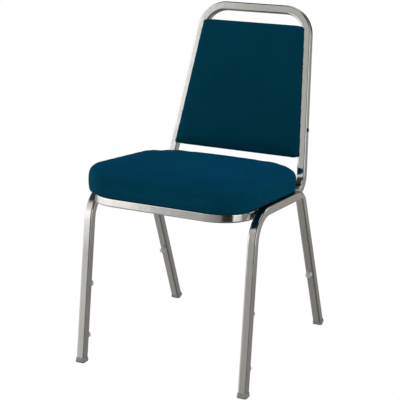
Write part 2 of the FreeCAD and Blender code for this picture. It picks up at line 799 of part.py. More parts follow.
core = prism(panel_outline(PANEL_CORE_INSET), back_board_low, back_board_high)
padding = panel(FABRIC).cut(core)
front_slab = prism(square(4 * PANEL_HIGH, 0), back_board_low + BACK_BOARD / 2, 2 * PANEL_FRONT)
shank_clear = back_holes(SCREW_RADIUS + 2 * CLEAR, PANEL_REAR - OVERCUT, back_board_low + OVERCUT)
back_pocket_high = back_board_high + TEE_NUT_FLANGE_THICKNESS + CLEAR
back_pockets = back_holes(TEE_NUT_FLANGE + CLEAR, back_board_high - CLEAR, back_pocket_high)
back_barrels = back_holes(TEE_NUT_BARREL + SNUG, back_board_low - OVERCUT, back_board_high + OVERCUT)
add("back_board", [placed(core.cut(back_barrels), BACK)])
add("back_front_foam", [placed(padding.common(front_slab).cut(back_pockets), BACK)])
add("back_rear_foam", [placed(padding.cut(front_slab).cut(shank_clear), BACK)])
add("back_cover", [placed(panel(0).cut(panel(FABRIC)).cut(shank_clear), BACK)])

back_nuts = []
back_screws = []
for tab_up in BACK_TABS:
    for hand in (1, -1):
        spot = back_screw(tab_up)
        spot.x *= hand
        nut = tee_nut()
        nut.translate(spot + Z * back_board_high)
        back_nuts.append(placed(nut, BACK))
        bolt = screw(BACK_SCREW_LENGTH)
        bolt.translate(spot + Z * (BACK_TAB_LOW - SNUG))
        back_screws.append(placed(bolt, BACK))
add("back_tee_nuts", back_nuts)
add("back_screws", back_screws)

# ---- glides and bumpers -------------------------------------------------------------------------

front_glide = glide(leg_axes(front_foot, front_knee), -GLIDE_RIM, TUBE_END_FRONT)
rear_glide = glide(leg_axes(rear_foot, rear_knee), REAR_GLIDE_LIFT, TUBE_END_REAR)
for corner, piece in (("front", front_glide), ("rear", rear_glide)):
    add("glide_" + corner + "_right", [piece])
    add("glide_" + corner + "_left", [mirrored(piece)])

for level, place in bumper_places.items():
    button = placed(bumper(BUMPER_RADIUS, BUMPER_HEIGHT, BUMPER_RIM), place)
    add("bumper_" + level + "_right", [button])
    add("bumper_" + level + "_left", [mirrored(button)])
post_button = placed(bumper(POST_BUMPER_RADIUS, POST_BUMPER_HEIGHT, POST_BUMPER_RIM), post_place)
add("bumper_post_right", [post_button])
add("bumper_post_left", [mirrored(post_button)])

# ---- weld beads ---------------------------------------------------------------------------------


def seam_beads():
    """Stitches in the grooves between a side rail and its leg frame, above and below."""
    beads = []
    for behind in SEAM_PLACES:
        for side in (1, -1):
            seam = on_seat(side_rail_x(behind) + HALF + CLEAR / 2, behind, side * (HALF - SEAM_SUNK))
            beads.append(Part.makeCylinder(SEAM_BEAD, SEAM_STITCH, seam, rail_forward()))
    return beads


def tab_beads():
    """A fillet of weld along each tab's root, on the side away from the padding."""
    beads = []
    length = TAB_LENGTH - 2 * BEAD_SHORT
    for behind in SEAT_TABS:
        inner = side_rail_x(behind) - HALF
        start = on_seat(inner, behind - length / 2, SEAT_TAB_LOW)
        beads.append(Part.makeCylinder(SEAT_TAB_BEAD, length, start, seat_back))
    heading = unit(on_back(post_x(PANEL_HIGH), PANEL_HIGH) - on_back(post_x(0), 0))
    for up in BACK_TABS:
        inner = post_x(up) - HALF / math.cos(rad(POST_CLOSING))
        start = on_back(inner, up, BACK_TAB_LOW) - heading * (length / 2)
        beads.append(Part.makeCylinder(BACK_TAB_BEAD, length, start, heading))
    return beads


def joint_bead():
    """A low ring round the joint of the side rail and the front rail."""
    ring = square(TUBE + 2 * JOINT_BEAD_PROUD, TUBE_CORNER + JOINT_BEAD_PROUD)
    ring = prism(ring, -JOINT_BEAD_HALF, JOINT_BEAD_HALF)
    return placed(ring, rail_section(rail_end()))


def cross_rail_beads():
    inner = side_rail_x(CROSS_RAIL_U) - HALF - CLEAR / 2
    length = TUBE - 2 * BEAD_SHORT
    low = on_seat(inner, CROSS_RAIL_U - length / 2, -HALF)
    high = on_seat(inner, CROSS_RAIL_U - length / 2, HALF)
    return [Part.makeCylinder(SEAT_TAB_BEAD, length, start, seat_back) for start in (low, high)]


cutters = [back_outer, front_outer, leg_outer]
for neighbour in ("rear_cross_rail", "seat_mounting_tabs", "back_mounting_tabs", "back_cover",
                  "seat_cover", "seat_base_board", "seat_foam"):
    cutters.append(NODES[neighbour])
right_beads = []
for bead in seam_beads() + tab_beads() + [joint_bead()] + cross_rail_beads():
    for cutter in cutters:
        pieces = [solid.cut(cutter).Solids for solid in bead.Solids]
        bead = Part.makeCompound([piece for group in pieces for piece in group])
    right_beads.extend(bead.Solids)
add("weld_beads", right_beads + [mirrored(bead) for bead in right_beads])

# ---- write --------------------------------------------------------------------------------------

os.makedirs("parts", exist_ok=True)
for old in os.listdir("parts"):
    if old.endswith(".step") and old[:-5] not in NODES:
        os.remove(os.path.join("parts", old))
whole = FreeCAD.BoundBox()
for name, shape in NODES.items():
    shape.exportStep(os.path.join("parts", name + ".step"))
    whole.add(shape.BoundBox)
    state = "valid" if shape.isValid() else "NOT VALID"
    print(f"{name:24s} solids {len(shape.Solids):3d}  volume {shape.Volume:11.1f}  {state}")
print("box", [round(v, 2) for v in (whole.XMin, whole.XMax, whole.YMin, whole.YMax, whole.ZMin, whole.ZMax)])
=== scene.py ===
import json
import math

import bpy
import numpy as np
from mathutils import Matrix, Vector


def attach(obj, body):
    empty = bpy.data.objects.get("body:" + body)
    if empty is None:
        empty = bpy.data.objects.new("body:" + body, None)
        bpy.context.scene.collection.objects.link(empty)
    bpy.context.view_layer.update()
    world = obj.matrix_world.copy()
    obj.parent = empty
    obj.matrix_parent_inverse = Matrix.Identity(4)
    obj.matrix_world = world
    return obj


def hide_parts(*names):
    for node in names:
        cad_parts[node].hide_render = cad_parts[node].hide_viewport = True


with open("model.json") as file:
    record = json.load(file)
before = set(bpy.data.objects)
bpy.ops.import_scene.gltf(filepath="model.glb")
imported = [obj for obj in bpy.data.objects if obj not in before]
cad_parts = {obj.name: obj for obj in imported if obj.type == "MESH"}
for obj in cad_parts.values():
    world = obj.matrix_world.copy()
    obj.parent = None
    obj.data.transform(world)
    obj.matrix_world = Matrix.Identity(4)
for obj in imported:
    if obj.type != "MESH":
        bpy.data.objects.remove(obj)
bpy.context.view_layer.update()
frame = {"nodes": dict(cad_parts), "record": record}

nodes = frame["nodes"]

# ---- driving values, in metres and degrees -------------------------------------------------------

MM = 0.001
SEAT_PITCH = math.radians(4.67)      # the seat frame falls to the rear
BACK_LEAN = math.radians(17.74)      # the posts lean back
POST_CLOSING = math.tan(math.radians(5.93))  # each post closes in towards the top
SIDE_SPLAY = math.tan(math.radians(0.81))    # each side rail closes in towards the rear

CAMERA_AZIMUTH = math.radians(26.88)
CAMERA_ELEVATION = math.radians(17.09)
CAMERA_DISTANCE = 3.17146
CAMERA_TARGET = Vector((-0.01516, -0.0296, 0.39621))
CAMERA_LENS = 110.03                 # millimetres, on a sensor of CAMERA_SENSOR
CAMERA_SENSOR = 36
CAMERA_REACH = 50

# ---- axes of the seat and of the back --------------------------------------------------------------


class Axes:
    """A piece's own axes: across (the chair's X), along, and out of its padded face."""

    def __init__(self, along, out):
        self.along = np.array(along)
        self.out = np.array(out)

    def local(self, points):
        points = np.asarray(points, float)
        return np.stack([points[:, 0], points @ self.along, points @ self.out], 1)

    def world(self, local):
        local = np.asarray(local, float)
        across = np.outer(local[:, 0], (1.0, 0.0, 0.0))
        return across + np.outer(local[:, 1], self.along) + np.outer(local[:, 2], self.out)


SEAT = Axes((0.0, math.cos(SEAT_PITCH), -math.sin(SEAT_PITCH)),
            (0.0, math.sin(SEAT_PITCH), math.cos(SEAT_PITCH)))
BACK = Axes((0.0, math.sin(BACK_LEAN), math.cos(BACK_LEAN)),
            (0.0, -math.cos(BACK_LEAN), math.sin(BACK_LEAN)))


def node_points(name, axes):
    mesh = nodes[name].data
    co = np.empty(len(mesh.vertices) * 3)
    mesh.vertices.foreach_get("co", co)
    return axes.local(co.reshape(-1, 3))


# ---- mesh helpers --------------------------------------------------------------------------------


def new_object(name, mesh):
    piece = bpy.data.objects.new(name, mesh)
    bpy.context.scene.collection.objects.link(piece)
    return piece


def mesh_from(name, points, faces):
    mesh = bpy.data.meshes.new(name)
    mesh.from_pydata([tuple(p) for p in points], [], faces)
    mesh.update()
    return mesh


def coordinates(mesh):
    co = np.empty(len(mesh.vertices) * 3)
    mesh.vertices.foreach_get("co", co)
    return co.reshape(-1, 3)


def set_coordinates(mesh, co):
    mesh.vertices.foreach_set("co", np.ascontiguousarray(co, float).ravel())
    mesh.update()


def shade_smooth(mesh):
    mesh.polygons.foreach_set("use_smooth", [True] * len(mesh.polygons))
    mesh.update()


def baked(piece):
    """Applies the piece's modifiers to its mesh."""
    depsgraph = bpy.context.evaluated_depsgraph_get()
    mesh = bpy.data.meshes.new_from_object(piece.evaluated_get(depsgraph))
    old = piece.data
    piece.modifiers.clear()
    piece.data = mesh
    bpy.data.meshes.remove(old)
    return mesh


def remeshed(piece, voxel):
    modifier = piece.modifiers.new("Remesh", "REMESH")
    modifier.mode = "VOXEL"
    modifier.voxel_size = voxel
    return baked(piece)


def subdivided(piece):
    modifier = piece.modifiers.new("Subdivision", "SUBSURF")
    modifier.levels = 1
    modifier.render_levels = 1
    return baked(piece)


SMOOTHING_ROUNDS = 2
SMOOTHING_WEIGHT = 0.5
CLOTH_FRAMES = 20
CLOTH = {"quality": 4, "mass": 0.3, "use_pressure": True, "uniform_pressure_force": 4.0,
         "vertex_group_mass": "pinned", "tension_stiffness": 12.0, "compression_stiffness": 12.0,
         "shear_stiffness": 5.0, "bending_stiffness": 0.6}


def smoothed(co, mesh):
    """Laplacian smoothing of an array of places on a mesh's edges."""
    pairs = np.empty(len(mesh.edges) * 2, np.int64)
    mesh.edges.foreach_get("vertices", pairs)
    pairs = pairs.reshape(-1, 2)
    count = np.bincount(pairs.ravel(), minlength=len(co)).astype(float)
    count[count == 0] = 1
    for _ in range(SMOOTHING_ROUNDS):
        total = np.zeros_like(co)
        np.add.at(total, pairs[:, 0], co[pairs[:, 1]])
        np.add.at(total, pairs[:, 1], co[pairs[:, 0]])
        co = co + (total / count[:, None] - co) * SMOOTHING_WEIGHT
    return co


def inflate(piece, pinned, limit):
    """Swells a closed pad as cloth with pressure inside, each point staying within a limit of its start."""
    start = coordinates(piece.data)
    group = piece.vertex_groups.new(name=CLOTH["vertex_group_mass"])
    group.add([int(i) for i in np.nonzero(pinned)[0]], 1.0, "REPLACE")
    cloth = piece.modifiers.new("Cloth", "CLOTH")
    for name, value in CLOTH.items():
        setattr(cloth.settings, name, value)
    cloth.settings.effector_weights.gravity = 0.0
    cloth.collision_settings.use_collision = False
    cloth.point_cache.frame_start = 1
    cloth.point_cache.frame_end = CLOTH_FRAMES
    scene = bpy.context.scene
    for step in range(1, CLOTH_FRAMES + 1):
        scene.frame_set(step)
    depsgraph = bpy.context.evaluated_depsgraph_get()
    moved = coordinates(piece.evaluated_get(depsgraph).data)
    piece.modifiers.clear()
    piece.vertex_groups.clear()
    scene.frame_set(1)
    shift = moved - start
    length = np.linalg.norm(shift, axis=1)
    keep = limit * np.tanh(length / limit) / np.maximum(length, 1e-9)
    set_coordinates(piece.data, start + shift * keep[:, None])


# ---- padded forms ----------------------------------------------------------------------------------


CORNER_STEPS = 14                    # steps round each corner of an outline, and along each side
SIDE_STEPS = 26
LEAST_RADIUS = 2 * MM


class Outline:
    """A rounded four-sided outline that narrows or widens along its length, and its insets."""

    def __init__(self, low, high, low_half, high_half, low_radius, high_radius):
        self.low, self.high = low, high
        self.low_half, self.high_half = low_half, high_half
        self.low_radius, self.high_radius = low_radius, high_radius

    def points(self, inset):
        low, high = self.low + inset, self.high - inset
        a, b = self.low_half - inset, self.high_half - inset
        corners = [(a, low, self.low_radius), (b, high, self.high_radius),
                   (-b, high, self.high_radius), (-a, low, self.low_radius)]
        arcs = []
        for i, (x, y, radius) in enumerate(corners):
            radius = max(radius - inset, LEAST_RADIUS)
            here = np.array((x, y))
            before = np.array(corners[i - 1][:2]) - here
            after = np.array(corners[(i + 1) % 4][:2]) - here
            before /= np.linalg.norm(before)
            after /= np.linalg.norm(after)
            half = math.acos(np.clip(before @ after, -1, 1)) / 2
            middle = (before + after) / np.linalg.norm(before + after)
            centre = here + middle * radius / math.sin(half)
            start = here + before * radius / math.tan(half) - centre
            end = here + after * radius / math.tan(half) - centre
            angle = math.pi - 2 * half
            arc = []
            for k in range(CORNER_STEPS + 1):
                t = k / CORNER_STEPS
                turned = start * math.sin((1 - t) * angle) + end * math.sin(t * angle)
                arc.append(centre + turned / math.sin(angle))
            arcs.append(arc)
        loop = []
        for i, arc in enumerate(arcs):
            loop.extend(arc)
            step = (arcs[(i + 1) % 4][0] - arc[-1]) / SIDE_STEPS
            loop.extend(arc[-1] + step * k for k in range(1, SIDE_STEPS))
        return np.array(loop)


def lofted(name, axes, rings):
    """A closed form through rings of equal point counts, its first and last ring filled with fans."""
    points = np.concatenate(rings)
    count = len(rings[0])
    faces = []
    for r in range(len(rings) - 1):
        for k in range(count):
            a, b = r * count + k, r * count + (k + 1) % count
            faces.append((a, b, b + count, a + count))
    first, last = len(points), len(points) + 1
    points = np.vstack([points, rings[0].mean(0), rings[-1].mean(0)])
    top = (len(rings) - 1) * count
    for k in range(count):
        faces.append(((k + 1) % count, k, first))
        faces.append((top + k, top + (k + 1) % count, last))
    return new_object(name, mesh_from(name, axes.world(points), faces))


def quarter(steps):
    """The angles of a rounded edge, from 0 to a right angle."""
    return [math.radians(90 * k / steps) for k in range(steps + 1)]


def fitted(local, cad, proud=(0.0, 0.0, 0.0)):
    """Stretches a form to its CAD solid's box, which its crown may rise above, and stands it proud."""
    low, high = local.min(0), local.max(0)
    cad_low, cad_high = cad.min(0) - proud, cad.max(0) + proud
    share = (local - low) / (high - low)
    top = np.where((False, False, True), np.maximum(high, cad_high), cad_high)
    return cad_low + share * (top - cad_low)


# ---- seat cushion --------------------------------------------------------------------------------
# "Along" runs from the front of the seat to its rear, and heights count from its underside.

SEAT_VOXEL = 5 * MM
SEAT_SHRINK = 1.6 * MM               # the form starts this much smaller and swells in the simulation
SEAT_SWELL = 3.2 * MM                # the simulation moves a point no further than this
SEAT_PINNED = 7 * MM                 # the simulation holds what lies below this height
RAIL_OUTSIDE = 1 * MM                # the rail's outer face, give or take this
FRONT_ZONE = 120 * MM                # where the front's half width is read from the CAD cover
END_ZONE = 60 * MM                   # where the top's height is read, at the front and at the rear
SEAT_NARROWING = 4.5 * MM            # the front is at least this much narrower than the rear on each side
REAR_WIDER = 0.3 * MM                # the rear starts this much wider than the CAD cover on each side,
REAR_LOWER = 0.6 * MM                # and its top this much lower
SEAT_RADII = (88 * MM, 110 * MM)     # corners seen from above, at the front and at the rear
SEAT_LOW_EDGE = 14 * MM              # radii of the rounded edges round the underside and the top
SEAT_TOP_EDGE = 22 * MM
SEAT_LEAN = 1.5 * MM                 # the sides lean in by this much from the low edge to the top edge
SEAT_CROWN = 6.0 * MM
SEAT_MIDDLE = 12 * MM                # the innermost ring of the crown lies about this far from the middle
UNDERSIDE_INSETS = (58 * MM, 43.5 * MM, 29 * MM)
LOW_STEPS, WALL_STEPS, TOP_STEPS = 6, 6, 8
CROWN_SHARES = (0.12, 0.26, 0.42, 0.6, 0.8, 0.97)
SIDE_BULGE = 4.0 * MM                # the sides are fullest a little above half their height
BULGE_SKEW = 1.2
BULGE_ACROSS = 120 * MM              # the bulge points away from a middle of this half width,
BULGE_ALONG = 110 * MM               # which stops this far short of the front and the rear,
BULGE_FADE = 40 * MM                 # and it fades within this distance of that middle
TOP_RISE = 1.4 * MM                  # the top rises at the front by this,
REAR_SINK = 1.2 * MM                 # less by this at the rear,
REAR_DOME = 4.6 * MM                 # and more by this at the rear's middle,
DOME_POWER = 2.2                     # falling off to the sides by this power
TOP_ARCH = 2.6 * MM                  # the top's edge is fullest halfway along each side,
ARCH_END = 0.85                      # as far as this share of the length,
TOP_DROP = 2.6 * MM                  # and falls away at the front corners
DROP_END = 0.3                       # up to this share of the length
FLAT_UNDER = 1.6 * MM                # what lies lower than this is pressed flat on the rails
LEG_OVERLAP = 2.0 * MM               # the tuck begins this far inside the seam of rail and leg frame
RELIEF_STEP = 9.5 * MM               # over the leg frames the cover is tucked up, clear of their tops,
RELIEF_START = 60 * MM               # from this far behind the front,
RELIEF_RAMP = 25 * MM                # and fully so after this much more
LINING_MARGIN = 0.2 * MM             # round the black lining, the cover's underside is lifted
LINING_DEPTH = 0.4 * MM              # from below this height
LINING_CLEAR = 0.03 * MM             # to this far above the lining


def seat_cushion():
    cover = node_points("seat_cover", SEAT)
    rail = node_points("seat_front_rail", SEAT)
    front, rear = cover[:, 1].min(), cover[:, 1].max()
    base = cover[:, 2].min()
    rail_outer = rail[:, 0].max()
    rail_end = rail[rail[:, 0] > rail_outer - RAIL_OUTSIDE][:, 1].min()
    front_half = cover[cover[:, 1] < front + FRONT_ZONE][:, 0].max()
    rear_half = cover[:, 0].max() + REAR_WIDER
    front_half = min(front_half, rear_half - SEAT_NARROWING)
    top_front = cover[cover[:, 1] < front + END_ZONE][:, 2].max()
    top_rear = cover[cover[:, 1] > rear - END_ZONE][:, 2].max() - REAR_LOWER
    shape = Outline(front, rear, front_half, rear_half, *SEAT_RADII)

    def top_at(loop):
        return top_front + (top_rear - top_front) * np.clip((loop[:, 1] - front) / (rear - front), 0, 1)

    def low_ring(inset, height):
        """A loop at a height over the underside."""
        loop = shape.points(inset + SEAT_SHRINK)
        return np.column_stack([loop, np.full(len(loop), base + height)])

    def top_ring(inset, height):
        """A loop at a height over the sloping top."""
        loop = shape.points(inset + SEAT_SHRINK)
        return np.column_stack([loop, top_at(loop) + height])

    rings = [low_ring(inset, SEAT_SHRINK) for inset in UNDERSIDE_INSETS]
    for angle in quarter(LOW_STEPS):
        rings.append(low_ring(SEAT_LOW_EDGE * (1 - math.sin(angle)),
                              SEAT_LOW_EDGE * (1 - math.cos(angle)) + SEAT_SHRINK))
    for k in range(1, WALL_STEPS):
        share = k / WALL_STEPS
        loop = shape.points(SEAT_SHRINK + SEAT_LEAN * share)
        lower = base + SEAT_LOW_EDGE
        upper = top_at(loop) - SEAT_TOP_EDGE
        rings.append(np.column_stack([loop, lower + (upper - lower) * share]))
    for angle in quarter(TOP_STEPS):
        rings.append(top_ring(SEAT_LEAN + SEAT_TOP_EDGE * (1 - math.cos(angle)),
                              -SEAT_TOP_EDGE * (1 - math.sin(angle)) - SEAT_SHRINK))
    edge = SEAT_LEAN + SEAT_TOP_EDGE
    room = min(front_half, (rear - front) / 2) - edge - SEAT_MIDDLE
    for share in CROWN_SHARES:
        rings.append(top_ring(edge + room * share, SEAT_CROWN * math.sin(share * math.pi / 2) - SEAT_SHRINK))
    cushion = lofted("seat_cushion", SEAT, rings)
    remeshed(cushion, SEAT_VOXEL)
    local = SEAT.local(coordinates(cushion.data))
    inflate(cushion, local[:, 2] < base + SEAT_PINNED, SEAT_SWELL)
    subdivided(cushion)
    finish_seat(cushion, cover, rail_outer, rail_end)
    return cushion


def finish_seat(cushion, cover, rail_outer, rail_end):
    """Smooths and shapes the swelling, and makes room under it for the rails, leg frames and lining."""
    mesh = cushion.data
    front, rear = cover[:, 1].min(), cover[:, 1].max()
    base = cover[:, 2].min()
    local = SEAT.local(coordinates(mesh))
    local = smoothed(local, mesh)
    local = fitted(local, cover)
    x, along, height = local[:, 0], local[:, 1], local[:, 2]
    share = np.clip((height - base) / (height.max() - base), 0, 1)
    middle = np.stack([np.clip(x, -BULGE_ACROSS, BULGE_ACROSS),
                       np.clip(along, front + BULGE_ALONG, rear - BULGE_ALONG)], 1)
    outward = local[:, :2] - middle
    outward /= np.maximum(np.linalg.norm(outward, axis=1), BULGE_FADE)[:, None]
    local[:, :2] += outward * (SIDE_BULGE * np.sin(math.pi * share ** BULGE_SKEW))[:, None]
    reach = np.clip((along - front) / (rear - front), 0, 1)
    aside = np.clip((x / rail_outer) ** 2, 0, 1)
    dome = REAR_DOME * reach * (1 - aside) ** DOME_POWER
    arch = TOP_ARCH * np.sin(math.pi * np.clip(reach / ARCH_END, 0, 1)) * aside
    drop = TOP_DROP * np.clip(1 - reach / DROP_END, 0, 1) * aside
    height += share * (TOP_RISE - REAR_SINK * reach ** 2 + dome + arch - drop)
    height[height < base + FLAT_UNDER] = base
    seam = rail_outer - (along - rail_end) * SIDE_SPLAY - LEG_OVERLAP
    over_leg = (np.abs(x) > seam) & (along > front + RELIEF_START)
    tuck = base + RELIEF_STEP * np.clip((along - front - RELIEF_START) / RELIEF_RAMP, 0, 1)
    height[over_leg] = np.maximum(height[over_leg], tuck[over_leg])
    lining = node_points("seat_dust_cover", SEAT)
    inner = (np.abs(x) < lining[:, 0].max() + LINING_MARGIN) & (height < base + LINING_DEPTH)
    inner &= along > lining[:, 1].min() - LINING_MARGIN
    inner &= along < lining[:, 1].max() + LINING_MARGIN
    height[inner] = lining[:, 2].max() + LINING_CLEAR
    set_coordinates(mesh, SEAT.world(local))
    shade_smooth(mesh)


# ---- back panel ------------------------------------------------------------------------------------
# "Along" runs up the back, and levels run out of its padded face.

PAD_VOXEL = 4 * MM
PAD_SHRINK = 1.2 * MM
PAD_SWELL = 2.0 * MM
PAD_CROWN = 2.0 * MM
PAD_PINNED = 2 * MM                  # the simulation holds what lies behind this level, from the lap's rear
STRAIGHT_LOW = 40 * MM               # the posts are straight from here,
STRAIGHT_HIGH = 60 * MM              # to this far below the pad's top edge
PROBE_HEIGHT = 20 * MM               # half widths are read at this height, give or take
PROBE_REACH = 12 * MM
DEEP_RADII = (12 * MM, 20 * MM)      # corners of the part between the posts, low and high
FACE_RADII = (8 * MM, 11 * MM)       # corners of the face, low and high
PAD_FRONT_EDGE = 8 * MM
PAD_REAR_EDGE = 4 * MM
PAD_LAP_EDGE = 3 * MM
REAR_INSETS = (110 * MM, 70 * MM, 30 * MM)
NECK = 3 * MM                        # one more ring this far behind the lap keeps its corner sharp
PAD_MIDDLE = 45 * MM                 # the innermost ring of the crown lies about this far from the middle
PAD_EDGE_STEPS = 4
PAD_FACE_STEPS = 6
PAD_SHARES = (0.1, 0.25, 0.45, 0.7, 0.95)
PAD_PROUD = (1.5 * MM, 2.2 * MM, 0.0)
GATHER_AT = (5 * MM, 4 * MM)         # the cover is gathered at the lower left corner, in from its edges
GATHER_RADIUS = 6 * MM
GATHER_BULGE = (0.8 * MM, 3.2 * MM, 0.0)
TUBE_NEAR = 1 * MM                   # the part between the posts is read from this far behind their face
POST_ROOM = 0.7 * MM                 # the pad's rear may be this much wider than its CAD solid
BESIDE_DEPTH = 0.2 * MM              # up to this level off the posts' face, it keeps to that width
LAP_DEPTH = 4 * MM                   # and from it to this far off the lap's rear, the lap clears the posts
LAP_CLEAR = 0.3 * MM                 # the lap lies this far off the posts


def back_pad():
    """The padded panel: its rear lies between the posts, and its face laps over them."""
    cover = node_points("back_cover", BACK)
    frame_tube = node_points("back_frame_tube", BACK)
    low, high = cover[:, 1].min(), cover[:, 1].max()
    rear, front = cover[:, 2].min(), cover[:, 2].max()
    straight = (frame_tube[:, 1] > low + STRAIGHT_LOW) & (frame_tube[:, 1] < high - STRAIGHT_HIGH)
    tube_face = frame_tube[straight][:, 2].max()
    lap_rear = cover[cover[:, 2] > tube_face][:, 2].min()

    def outline(points, radii):
        """An outline as wide as these points are near the low edge, closing in as the posts do."""
        near = points[np.abs(points[:, 1] - low - PROBE_HEIGHT) < PROBE_REACH]
        widest = near[np.argmax(near[:, 0])]
        half = widest[0] + (widest[1] - low) * POST_CLOSING
        return Outline(low, high, half, half - (high - low) * POST_CLOSING, *radii)

    deep = outline(cover[cover[:, 2] < tube_face - TUBE_NEAR], DEEP_RADII)
    face = outline(cover, FACE_RADII)

    def ring(shape, inset, level):
        loop = shape.points(inset)
        return np.column_stack([loop, np.full(len(loop), level)])

    def rounded(shape, edge, level):
        """Rings round an edge that faces the rear, from the level where it starts."""
        return [ring(shape, edge * (1 - math.sin(angle)) + PAD_SHRINK,
                     level + PAD_SHRINK + edge * (1 - math.cos(angle))) for angle in quarter(PAD_EDGE_STEPS)]

    rings = [ring(deep, inset + PAD_SHRINK, rear + PAD_SHRINK) for inset in REAR_INSETS]
    rings += rounded(deep, PAD_REAR_EDGE, rear)
    rings.append(ring(deep, PAD_SHRINK, lap_rear - NECK))
    rings.append(ring(deep, PAD_SHRINK, lap_rear + PAD_SHRINK))
    rings += rounded(face, PAD_LAP_EDGE, lap_rear)
    for angle in quarter(PAD_FACE_STEPS):
        rings.append(ring(face, PAD_FRONT_EDGE * (1 - math.cos(angle)) + PAD_SHRINK,
                          front - PAD_SHRINK - PAD_FRONT_EDGE * (1 - math.sin(angle))))
    room = face.low_half - PAD_FRONT_EDGE - PAD_MIDDLE
    for share in PAD_SHARES:
        rings.append(ring(face, PAD_FRONT_EDGE + room * share,
                          front - PAD_SHRINK + PAD_CROWN * math.sin(share * math.pi / 2)))
    pad = lofted("back_pad", BACK, rings)
    local = BACK.local(coordinates(pad.data))
    remeshed(pad, PAD_VOXEL)
    local = BACK.local(coordinates(pad.data))
    inflate(pad, local[:, 2] < lap_rear + PAD_PINNED, PAD_SWELL)
    subdivided(pad)
    local = smoothed(BACK.local(coordinates(pad.data)), pad.data)
    local = fitted(local, cover, PAD_PROUD)
    gathered = local[:, :2] - np.array((GATHER_AT[0] - face.low_half, low + GATHER_AT[1]))
    bulge = np.exp(-(gathered ** 2).sum(1) / GATHER_RADIUS ** 2) * (local[:, 2] > tube_face)
    local -= bulge[:, None] * np.array(GATHER_BULGE)
    room = deep.low_half + POST_ROOM - (local[:, 1] - low) * POST_CLOSING
    beside = local[:, 2] < tube_face + BESIDE_DEPTH
    local[beside, 0] = np.clip(local[beside, 0], -room[beside], room[beside])
    over = (np.abs(local[:, 0]) > room) & (local[:, 2] < lap_rear + LAP_DEPTH)
    local[over, 2] = np.maximum(local[over, 2], tube_face + LAP_CLEAR)
    set_coordinates(pad.data, BACK.world(local))
    shade_smooth(pad.data)
    return pad


# ---- materials ---------------------------------------------------------------------------------------
# Scales of noise and waves are in cycles for each metre, and bump distances in metres.

CHROME_TINT = (0.80, 0.79, 0.765)
WELD_TINT = (0.74, 0.73, 0.70)
DRAWN_STEEL = (0.45, 0.45, 0.46)
ZINC = (0.68, 0.68, 0.66)
ALONG_X = (9, 260, 260)              # stretches that draw a noise out into streaks along a tube
ALONG_POSTS = (260, 260, 9)
ALONG_LEGS = (260, 200, 7)
SATIN = 0.22                         # added roughness on the legs' lower part, which begins below this height, is whole this much lower, and there the plate is painted darker by this share, a painted shade
SATIN_BELOW = 0.40                   # which begins below this height,
SATIN_FADE = 0.11                    # is whole this much lower,
LOW_LEG_PAINTED_SHADE = 0.25                  # and is darker by this share
TEAL = (0.0003, 0.0488, 0.0835)      # seat fabric
TEAL_BACK_SHADED = (0.0003, 0.0412, 0.0622)  # the seat's fabric painted darker and less blue for the back, a painted shade
SHEEN_TINT = (0.0, 0.30, 0.55, 1)
RIBS = 190.0
LIGHT_BUTTON = (0.55, 0.55, 0.53)
# the post bumpers are painted near-black, a painted shade for the shadow beside them
BUTTON_PAINTED_SHADE = (0.035, 0.03, 0.027)
DARK_BOTTOM_LOW, DARK_BOTTOM_HIGH = 2.2 * MM, 4.2 * MM  # the feet are darker up to here, and plain grey from here
BLACK, WHITE = (0, 0, 0), (1, 1, 1)


class NodeTree:
    """A node tree and helpers that place one node each."""

    def __init__(self, tree):
        self.tree = tree

    def node(self, kind, **settings):
        made = self.tree.nodes.new(kind)
        for key, value in settings.items():
            setattr(made, key, value)
        return made

    def link(self, source, target):
        self.tree.links.new(source, target)

    def feed(self, node, values):
        """Sets a node's first sockets to constants, or links them."""
        for socket, value in zip(node.inputs, values):
            if isinstance(value, (int, float, tuple)):
                socket.default_value = value
            else:
                self.link(value, socket)
        return node.outputs[0]

    def math(self, operation, *values):
        return self.feed(self.node("ShaderNodeMath", operation=operation), values)

    def vectors(self, operation, *values):
        return self.feed(self.node("ShaderNodeVectorMath", operation=operation), values)

    def split(self, vector):
        """The X, Y and Z of a vector."""
        node = self.node("ShaderNodeSeparateXYZ")
        self.link(vector, node.inputs[0])
        return node.outputs

    def weighted(self, *parts):
        """The sum of values, each times its weight."""
        value, weight = parts[0]
        total = self.math("MULTIPLY", value, weight)
        for value, weight in parts[1:]:
            total = self.math("ADD", total, self.math("MULTIPLY", value, weight))
        return total

    def stops(self, value, stops):
        """A colour that changes with a value, through places and colours."""
        ramp = self.node("ShaderNodeValToRGB")
        elements = ramp.color_ramp.elements
        while len(elements) < len(stops):
            elements.new(0.5)
        for element, (place, color) in zip(elements, stops):
            element.position = place
            element.color = (*color, 1)
        self.link(value, ramp.inputs["Fac"])
        return ramp.outputs["Color"]


